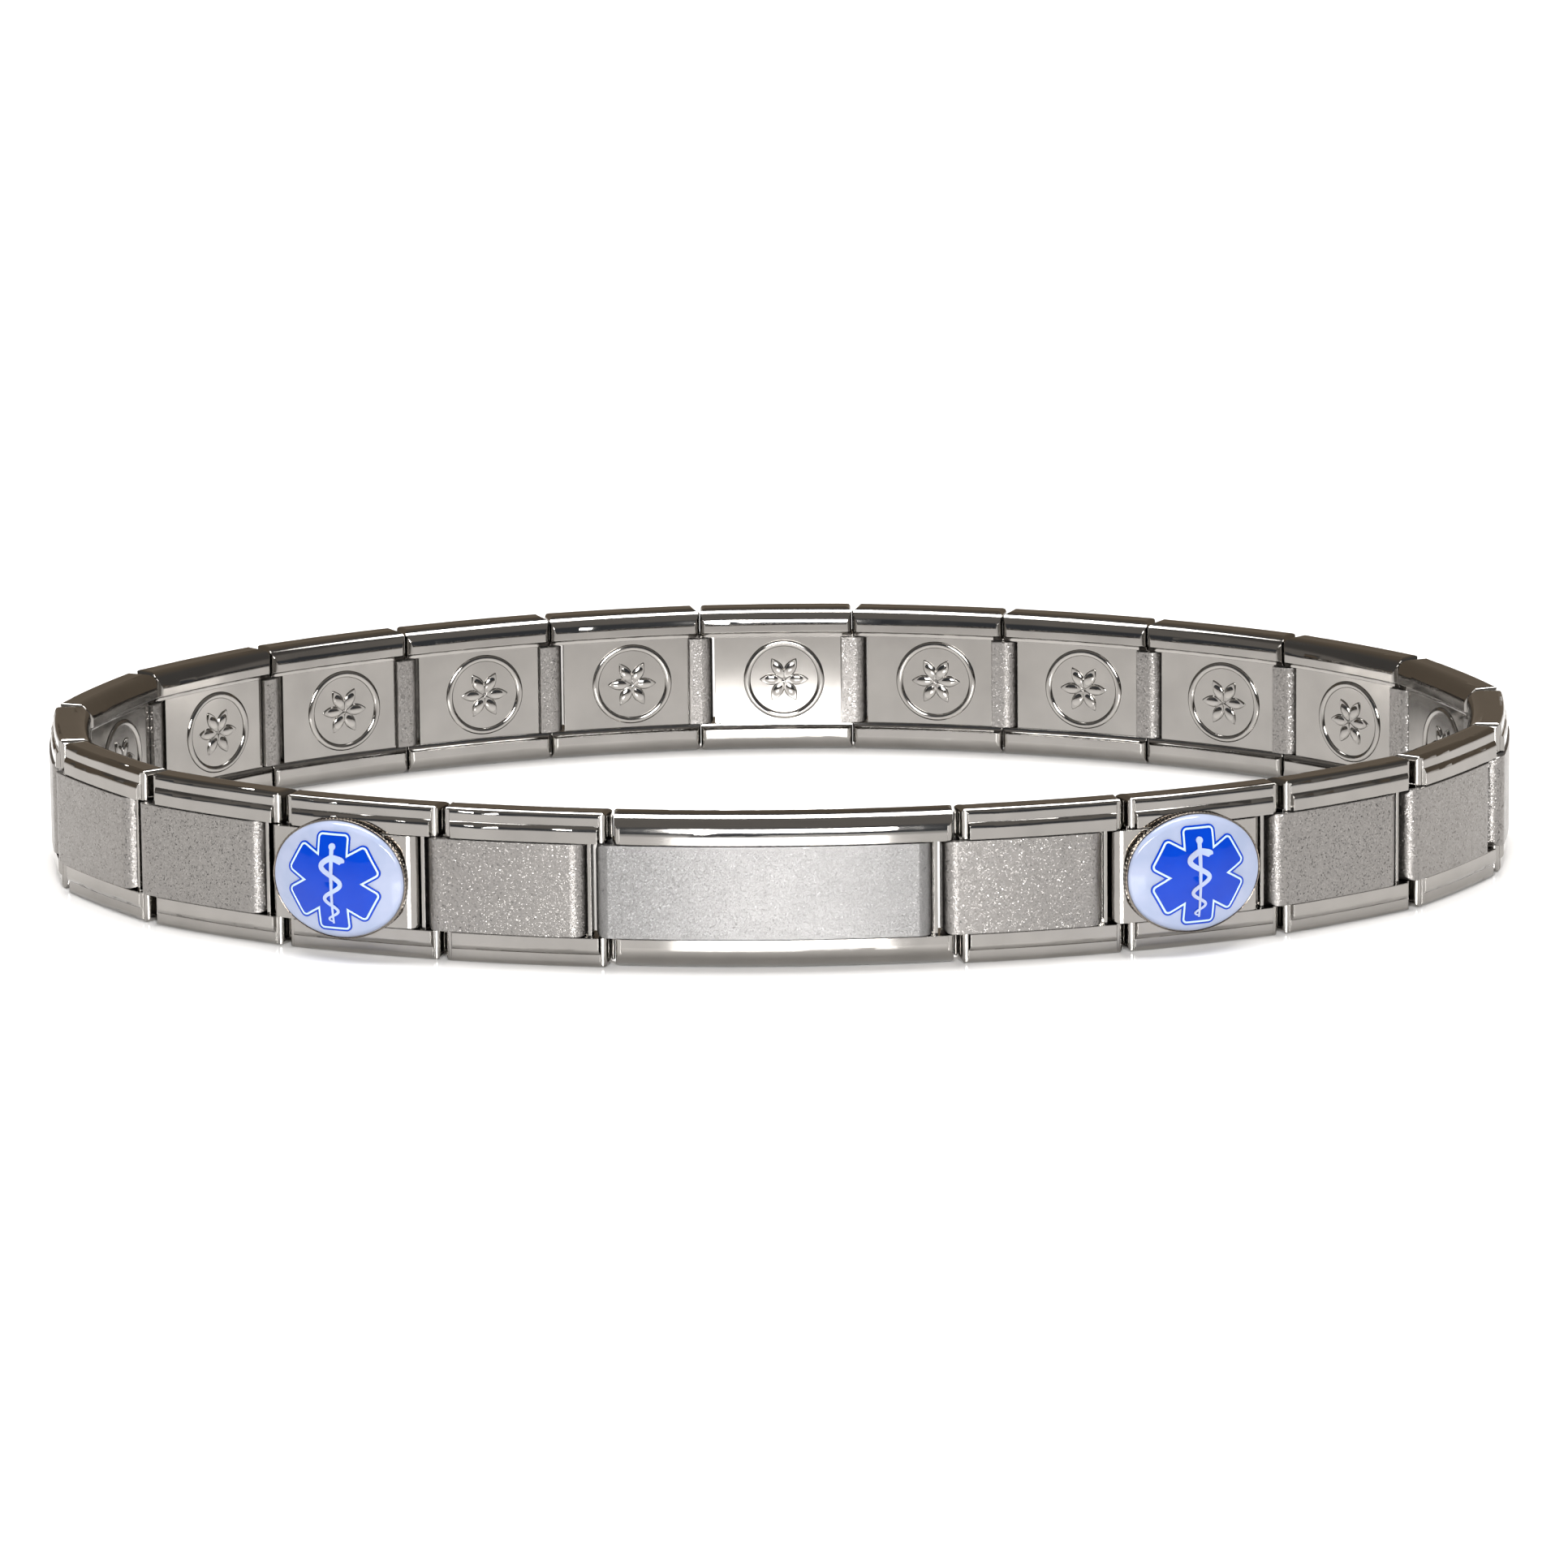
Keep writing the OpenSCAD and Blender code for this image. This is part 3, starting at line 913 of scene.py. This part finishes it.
class BRACELET_OT_medical_signs(bpy.types.Operator):
    """Makes the domes, pale bands and knurled rims of the medical signs, and gives the stars and
    staffs their print."""

    bl_idname = "bracelet.medical_signs"
    bl_label = "Medical Signs"

    angles = 240
    shoulder_rings = 10
    top_rings = 12
    foot = 0.02
    band_angles = 720
    band_thickness = 0.05
    samples_per_knurl = 5
    rim_top = 0.035
    rim_chamfer = 0.02

    def execute(self, context):
        sign = context.scene.bracelet_sign
        pearl = cast_resin("pearl_cast_resin", sign.dome_colour, sign.dome_cloud_colour, sign)
        blue = cast_resin("blue_print_resin", sign.star_colour, sign.star_cloud_colour, sign)
        pale = cast_resin("pale_print_resin", sign.staff_colour, sign.dome_colour, sign)
        white = cast_resin("white_print_resin", sign.band_colour, sign.band_cloud_colour, sign)
        # The rim is polished steel, as the frames are. The warm brown of its colour is a painted
        # reflection, not a tint of the metal.
        rim_steel_with_painted_reflection = polished_stainless_steel(
            "knurled_steel_painted_reflection", tuple(sign.rim_painted_reflection_colour), context.scene.bracelet_steel
        )
        for name in SIGN_LINKS:
            place = sign_place(name)
            dress(f"star_{name}", blue)
            dress(f"staff_{name}", pale)
            dome = add_piece(f"pearl_{name}", self.dome(place, sign), pearl)
            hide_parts(f"dome_{name}")
            add_piece(f"band_{name}", self.band(place), white)
            add_piece(f"rim_{name}", self.rim(place, sign), rim_steel_with_painted_reflection)
        return {"FINISHED"}

    def dome(self, place, sign):
        """A slice of a ball with an oval outline, whose edge rounds down to the disc."""
        turns = [2 * math.pi * i / self.angles for i in range(self.angles)]
        reaches = [oval_reach(turn, *DOME_HALF) for turn in turns]
        shoulders = [min(sign.shoulder_mm, ball_height(reach) - self.foot) for reach in reaches]
        rings = [[Vector((r * math.cos(t), r * math.sin(t), 0)) for t, r in zip(turns, reaches)]]
        for step in range(self.shoulder_rings + 1):
            lean = math.pi / 2 * step / self.shoulder_rings
            ring = []
            for turn, reach, shoulder in zip(turns, reaches, shoulders):
                inward = reach - shoulder * (1 - math.cos(lean))
                drop = shoulder * (1 - math.sin(lean))
                height = ball_height(inward) - drop
                ring.append(Vector((inward * math.cos(turn), inward * math.sin(turn), height)))
            rings.append(ring)
        for step in range(1, self.top_rings):
            share = 1 - step / self.top_rings
            ring = []
            for turn, reach, shoulder in zip(turns, reaches, shoulders):
                inward = share * (reach - shoulder)
                height = ball_height(inward)
                ring.append(Vector((inward * math.cos(turn), inward * math.sin(turn), height)))
            rings.append(ring)
        shape = bmesh.new()
        rows = loft(shape, [[place @ (MM * point) for point in ring] for ring in rings], False)
        shape.faces.new(rows[0])
        top = shape.verts.new(place @ Vector((0, 0, MM * DOME_TOP)))
        for i in range(self.angles):
            shape.faces.new((rows[-1][i - 1], rows[-1][i], top))
        return shape

    def band(self, place):
        """The pale print between the star and the line around it."""
        top = PRINT_FIT + self.band_thickness
        corners = (
            (SIDE_FIT, PRINT_FIT),
            (SIDE_FIT, top),
            (PALE_BAND - SIDE_FIT, top),
            (PALE_BAND - SIDE_FIT, PRINT_FIT),
        )
        rings = []
        for margin, rise in corners:
            ring = []
            for i in range(self.band_angles):
                turn = 2 * math.pi * i / self.band_angles
                reach = star_reach(turn, margin)
                point = (reach * math.cos(turn), reach * math.sin(turn), ball_height(reach, rise))
                ring.append(place @ (MM * Vector(point)))
            rings.append(ring)
        shape = bmesh.new()
        loft(shape, rings, True)
        return shape

    def rim(self, place, sign):
        """A knurled ring around the disc, whose top edge is a little higher than the disc."""
        outside = SIDE_FIT + sign.rim_width_mm
        bottom = PLATE_FACE + SIDE_FIT
        # Distance from the disc, height, and whether the knurls reach there
        profile = (
            (SIDE_FIT, bottom, 0),
            (SIDE_FIT, self.rim_top, 0),
            (outside - self.rim_chamfer, self.rim_top, 0),
            (outside, self.rim_top - self.rim_chamfer, 1),
            (outside, bottom, 1),
        )
        samples = self.samples_per_knurl * sign.knurl_count
        rings = []
        for margin, height, knurled in profile:
            ring = []
            for i in range(samples):
                turn = 2 * math.pi * i / samples
                wave = abs(math.sin(sign.knurl_count * turn / 2))
                reach = oval_reach(turn, *(half + margin for half in DISC_HALF))
                reach -= knurled * sign.knurl_depth_mm * (1 - wave)
                point = (reach * math.cos(turn), reach * math.sin(turn), height)
                ring.append(place @ (MM * Vector(point)))
            rings.append(ring)
        shape = bmesh.new()
        loft(shape, rings, True)
        return shape


class BRACELET_OT_wrist_side_stamps(bpy.types.Operator):
    """Makes the stamp on the wrist side of each single link: a ring around six petals."""

    bl_idname = "bracelet.wrist_side_stamps"
    bl_label = "Wrist Side Stamps"

    petals = 6
    ring_angles = 96
    arch_steps = 8
    petal_steps = 14
    # Share of a step that blunts a petal's points
    blunt = 0.1
    # Depth of the relief's edges below the web
    foot = 0.02

    def execute(self, context):
        relief = context.scene.bracelet_relief
        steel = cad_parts["frame_back"].data.materials[0]
        for i, name in enumerate(LINK_NAMES[1:], 1):
            left = i > BACK_LINK
            link = link_place(len(LINK_NAMES) - i if left else i, left)
            shape = bmesh.new()
            self.ring(shape, link, relief)
            self.rosette(shape, link, relief)
            add_piece(f"stamp_{name}", shape, steel)
        return {"FINISHED"}

    def on_web(self, link, x, height, rise, relief):
        """A point this far above the arched web: x and height count from the stamp's middle."""
        along = x + relief.stamp_shift_mm
        inward = WEB_DEPTH + WEB_RADIUS - math.sqrt(WEB_RADIUS**2 - along**2)
        return link @ (MM * Vector((along, inward + rise, height)))

    def ring(self, shape, link, relief):
        """A half-round ring whose edges go a little into the web."""
        half_line = relief.stamp_line_mm / 2
        rings = []
        for step in range(self.arch_steps + 1):
            lean = math.pi * step / self.arch_steps
            radius = relief.stamp_diameter_mm / 2 + half_line * math.cos(lean)
            rise = relief.stamp_rise_mm * math.sin(lean) - self.foot
            ring = []
            for i in range(self.ring_angles):
                turn = 2 * math.pi * i / self.ring_angles
                x, height = radius * math.cos(turn), radius * math.sin(turn)
                ring.append(self.on_web(link, x, height, rise, relief))
            rings.append(ring)
        loft(shape, rings, True)

    def rosette(self, shape, link, relief):
        """Petals with a rounded back, pointed at both ends."""
        for petal in range(self.petals):
            turn = 2 * math.pi * petal / self.petals
            ways = (math.cos(turn), math.sin(turn))
            rings = []
            for step in range(self.petal_steps + 1):
                steps = self.petal_steps + 2 * self.blunt
                share = math.sin(math.pi * (step + self.blunt) / steps)
                out = relief.petal_length_mm * step / self.petal_steps
                ring = []
                for i in range(2 * self.arch_steps):
                    lean = math.pi * i / self.arch_steps
                    aside = relief.petal_width_mm / 2 * share * math.cos(lean)
                    rise = max(relief.petal_rise_mm * share * math.sin(lean), 0) - self.foot
                    x = out * ways[0] - aside * ways[1]
                    height = out * ways[1] + aside * ways[0]
                    ring.append(self.on_web(link, x, height, rise, relief))
                rings.append(ring)
            rows = loft(shape, rings, False)
            shape.faces.new(rows[0])
            shape.faces.new(rows[-1])


class BRACELET_OT_hinge_pins(bpy.types.Operator):
    """Makes the pins that show between the rails of neighbouring links."""

    bl_idname = "bracelet.hinge_pins"
    bl_label = "Hinge Pins"

    angles = 24
    end_steps = 6
    # Distance from a pin's inner end to the rail's inner edge, as a share of the pin set
    inner_share = 1 / 3

    def execute(self, context):
        relief = context.scene.bracelet_relief
        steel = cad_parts["frame_back"].data.materials[0]
        for left in (False, True):
            for place in range(BACK_LINK):
                shape = bmesh.new()
                middle, gap = self.gap_between(place, left)
                for low in (True, False):
                    self.pin(shape, middle, relief.pin_share * gap / 2, low, relief)
                names = [LINK_NAMES[-k if left else k] for k in (place, place + 1)]
                add_piece(f"hinge_pins_{'_'.join(names)}", shape, steel)
        return {"FINISHED"}

    def gap_between(self, place, left):
        """The middle and the width of the gap between a link and the next, halfway through."""
        length = IDENTITY_LENGTH if place == 0 else LINK_LENGTH
        side = -1 if left else 1
        end = link_place(place, left) @ (MM * Vector((side * length / 2, 0, 0)))
        start = link_place(place + 1, left) @ (MM * Vector((-side * LINK_LENGTH / 2, 0, 0)))
        return (end + start) / 2, (start - end).length / MM

    def pin(self, shape, middle, radius, low, relief):
        """A round pin with rounded ends, a little shorter than the rail is high."""
        far = LINK_HEIGHT / 2 - relief.pin_set_mm
        near = LINK_HEIGHT / 2 - RAIL_HEIGHT + self.inner_share * relief.pin_set_mm
        rings = []
        for end, way in ((near, -1), (far, 1)):
            for step in range(self.end_steps):
                lean = math.pi / 2 * step / self.end_steps
                if way < 0:
                    lean = math.pi / 2 * (self.end_steps - 1 - step) / self.end_steps
                height = end + way * radius * (math.sin(lean) - 1)
                reach = radius * math.cos(lean)
                ring = []
                for i in range(self.angles):
                    turn = 2 * math.pi * i / self.angles
                    x, y = reach * math.cos(turn), reach * math.sin(turn)
                    ring.append(middle + MM * Vector((x, y, -height if low else height)))
                rings.append(ring)
        rows = loft(shape, rings, False)
        shape.faces.new(rows[0])
        shape.faces.new(rows[-1])


class BRACELET_OT_stage(bpy.types.Operator):
    """Lays the pale floor, hangs the two softboxes and places the camera."""

    bl_idname = "bracelet.stage"
    bl_label = "Stage"

    def execute(self, context):
        stage = context.scene.bracelet_stage
        # The plain transform keeps a fully lit pale floor white
        context.scene.view_settings.view_transform = "Standard"
        self.lay_floor(context.scene, stage)
        self.hang_softboxes(context.scene, stage)
        self.dim_room(context.scene, stage)
        self.place_camera(context.scene, stage)
        return {"FINISHED"}

    def lay_floor(self, scene, stage):
        """A white laminate board: a pale even colour under a smooth gloss, which mirrors the low
        light into the steel."""
        cloud_mm = 40
        # Values of the noise at which the cloud starts and is gone, and the colour left in it
        start, end, shade = 0.3, 0.7, 0.98
        material, tree, shader = new_material("white_laminate")
        place = add_node(tree, "ShaderNodeTexCoord").outputs["Object"]
        cloud = add_node(
            tree,
            "ShaderNodeTexNoise",
            {"Vector": place, "Scale": pattern_scale(cloud_mm), "Detail": 3.0},
        )
        colour = tuple(stage.floor_colour)
        tint = add_node(
            tree,
            "ShaderNodeValToRGB",
            {"Fac": cloud.outputs["Fac"]},
            stops=((start, tuple(shade * c for c in colour)), (end, colour)),
        )
        tree.links.new(tint.outputs["Color"], shader.inputs["Base Color"])
        shader.inputs["Roughness"].default_value = stage.floor_roughness
        shader.inputs["IOR"].default_value = LAMINATE_IOR
        half = stage.floor_size / 2
        mesh = bpy.data.meshes.new("laminate_floor")
        corners = [(-half, -half, 0), (half, -half, 0), (half, half, 0), (-half, half, 0)]
        mesh.from_pydata(corners, [], [(0, 1, 2, 3)])
        mesh.materials.append(material)
        floor = bpy.data.objects.new("laminate_floor", mesh)
        scene.collection.objects.link(floor)

    def hang_softboxes(self, scene, stage):
        """A wide softbox overhead, a little to the back, and a small one behind the camera."""
        elevation = stage.front_elevation
        ahead = Vector((0, -math.cos(elevation), math.sin(elevation)))
        boxes = (
            (
                "overhead_softbox",
                (stage.softbox_width, stage.softbox_depth),
                stage.softbox_power,
                Vector((0, stage.softbox_back, stage.softbox_height)),
            ),
            (
                "front_softbox",
                (stage.front_width, stage.front_height),
                stage.front_power,
                stage.front_distance * ahead,
            ),
        )
        for name, (width, height), power, location in boxes:
            light = bpy.data.lights.new(name, "AREA")
            light.shape = "RECTANGLE"
            light.size = width
            light.size_y = height
            light.energy = power
            softbox = bpy.data.objects.new(name, light)
            softbox.location = location
            softbox.rotation_euler = location.to_track_quat("Z", "Y").to_euler()
            scene.collection.objects.link(softbox)

    def dim_room(self, scene, stage):
        """The dim room around the table. Its colour changes from low in front, over the table,
        to low behind, and the stops are the degrees of that turn."""
        half_turn = 180
        world = bpy.data.worlds.new("dim_room")
        world.use_nodes = True
        tree = world.node_tree
        tree.nodes.clear()
        way = add_node(tree, "ShaderNodeTexCoord").outputs["Generated"]
        parts = add_node(tree, "ShaderNodeSeparateXYZ", {"Vector": way}).outputs
        forward = add_node(tree, "ShaderNodeMath", {0: parts["Y"], 1: -1.0}, operation="MULTIPLY")
        climb = add_node(
            tree,
            "ShaderNodeMath",
            {0: parts["Z"], 1: forward.outputs[0]},
            operation="ARCTAN2",
        )
        share = add_node(
            tree, "ShaderNodeMapRange", {"Value": climb.outputs[0], "From Max": math.pi}
        )
        stops = (
            (30, stage.room_low_colour),
            (42, stage.room_high_colour),
            (80, stage.room_high_colour),
            (92, stage.room_top_colour),
            (120, stage.room_top_colour),
            (140, stage.room_back_colour),
        )
        shade = add_node(
            tree,
            "ShaderNodeValToRGB",
            {"Fac": share.outputs["Result"]},
            stops=[(degrees / half_turn, tuple(colour)) for degrees, colour in stops],
        )
        glow = add_node(tree, "ShaderNodeBackground", {"Color": shade.outputs["Color"]})
        add_node(tree, "ShaderNodeOutputWorld", {"Surface": glow.outputs["Background"]})
        scene.world = world

    def place_camera(self, scene, stage):
        """The camera looks across the identity link, a little from above."""
        up_turn = Matrix.Rotation(stage.camera_azimuth, 4, "Z")
        elevation = stage.camera_elevation
        ahead = up_turn @ Vector((0, math.cos(elevation), -math.sin(elevation)))
        right = up_turn @ Vector((1, 0, 0))
        up = right.cross(ahead)
        low, high = (Vector(corner) for corner in cad_box)
        middle = (low + high) / 2
        lens_place = (
            middle
            - stage.camera_distance * ahead
            + stage.camera_aside * right
            - stage.camera_lower * up
        )
        roll = stage.camera_roll
        picture_right = math.cos(roll) * right + math.sin(roll) * up
        picture_up = math.cos(roll) * up - math.sin(roll) * right
        turn = Matrix((picture_right, picture_up, -ahead)).transposed()
        camera_data = bpy.data.cameras.new("camera")
        camera_data.sensor_width = SENSOR_WIDTH
        camera_data.lens = stage.camera_lens
        camera_data.clip_start = 0.05
        camera_data.clip_end = 20
        camera = bpy.data.objects.new("camera", camera_data)
        camera.matrix_world = Matrix.Translation(lens_place) @ turn.to_4x4()
        scene.collection.objects.link(camera)
        scene.camera = camera


class BRACELET_PT_sidebar(bpy.types.Panel):
    """Lists the bracelet's settings and operators."""

    bl_idname = "BRACELET_PT_sidebar"
    bl_label = "Bracelet"
    bl_space_type = "VIEW_3D"
    bl_region_type = "UI"
    bl_category = "Bracelet"

    def draw(self, context):
        for settings in (
            context.scene.bracelet_steel,
            context.scene.bracelet_relief,
            context.scene.bracelet_sign,
            context.scene.bracelet_stage,
        ):
            box = self.layout.box()
            for name in settings.bl_rna.properties.keys():
                if name not in ("rna_type", "name"):
                    box.prop(settings, name)
        for operator in OPERATORS:
            self.layout.operator(operator.bl_idname)


OPERATORS = (
    BRACELET_OT_link_frames,
    BRACELET_OT_face_plates,
    BRACELET_OT_wrist_side_stamps,
    BRACELET_OT_hinge_pins,
    BRACELET_OT_medical_signs,
    BRACELET_OT_stage,
)
GROUPS = (BraceletSteel, BraceletRelief, BraceletSign, BraceletStage)
CLASSES = (*GROUPS, *OPERATORS, BRACELET_PT_sidebar)


def register():
    for kind in CLASSES:
        bpy.utils.register_class(kind)
    bpy.types.Scene.bracelet_steel = PointerProperty(type=BraceletSteel)
    bpy.types.Scene.bracelet_relief = PointerProperty(type=BraceletRelief)
    bpy.types.Scene.bracelet_sign = PointerProperty(type=BraceletSign)
    bpy.types.Scene.bracelet_stage = PointerProperty(type=BraceletStage)


def unregister():
    del bpy.types.Scene.bracelet_stage
    del bpy.types.Scene.bracelet_sign
    del bpy.types.Scene.bracelet_relief
    del bpy.types.Scene.bracelet_steel
    for kind in reversed(CLASSES):
        bpy.utils.unregister_class(kind)


def main():
    register()
    bpy.ops.bracelet.link_frames()
    bpy.ops.bracelet.face_plates()
    bpy.ops.bracelet.wrist_side_stamps()
    bpy.ops.bracelet.hinge_pins()
    bpy.ops.bracelet.medical_signs()
    bpy.ops.bracelet.stage()


if __name__ == "__main__":
    main()
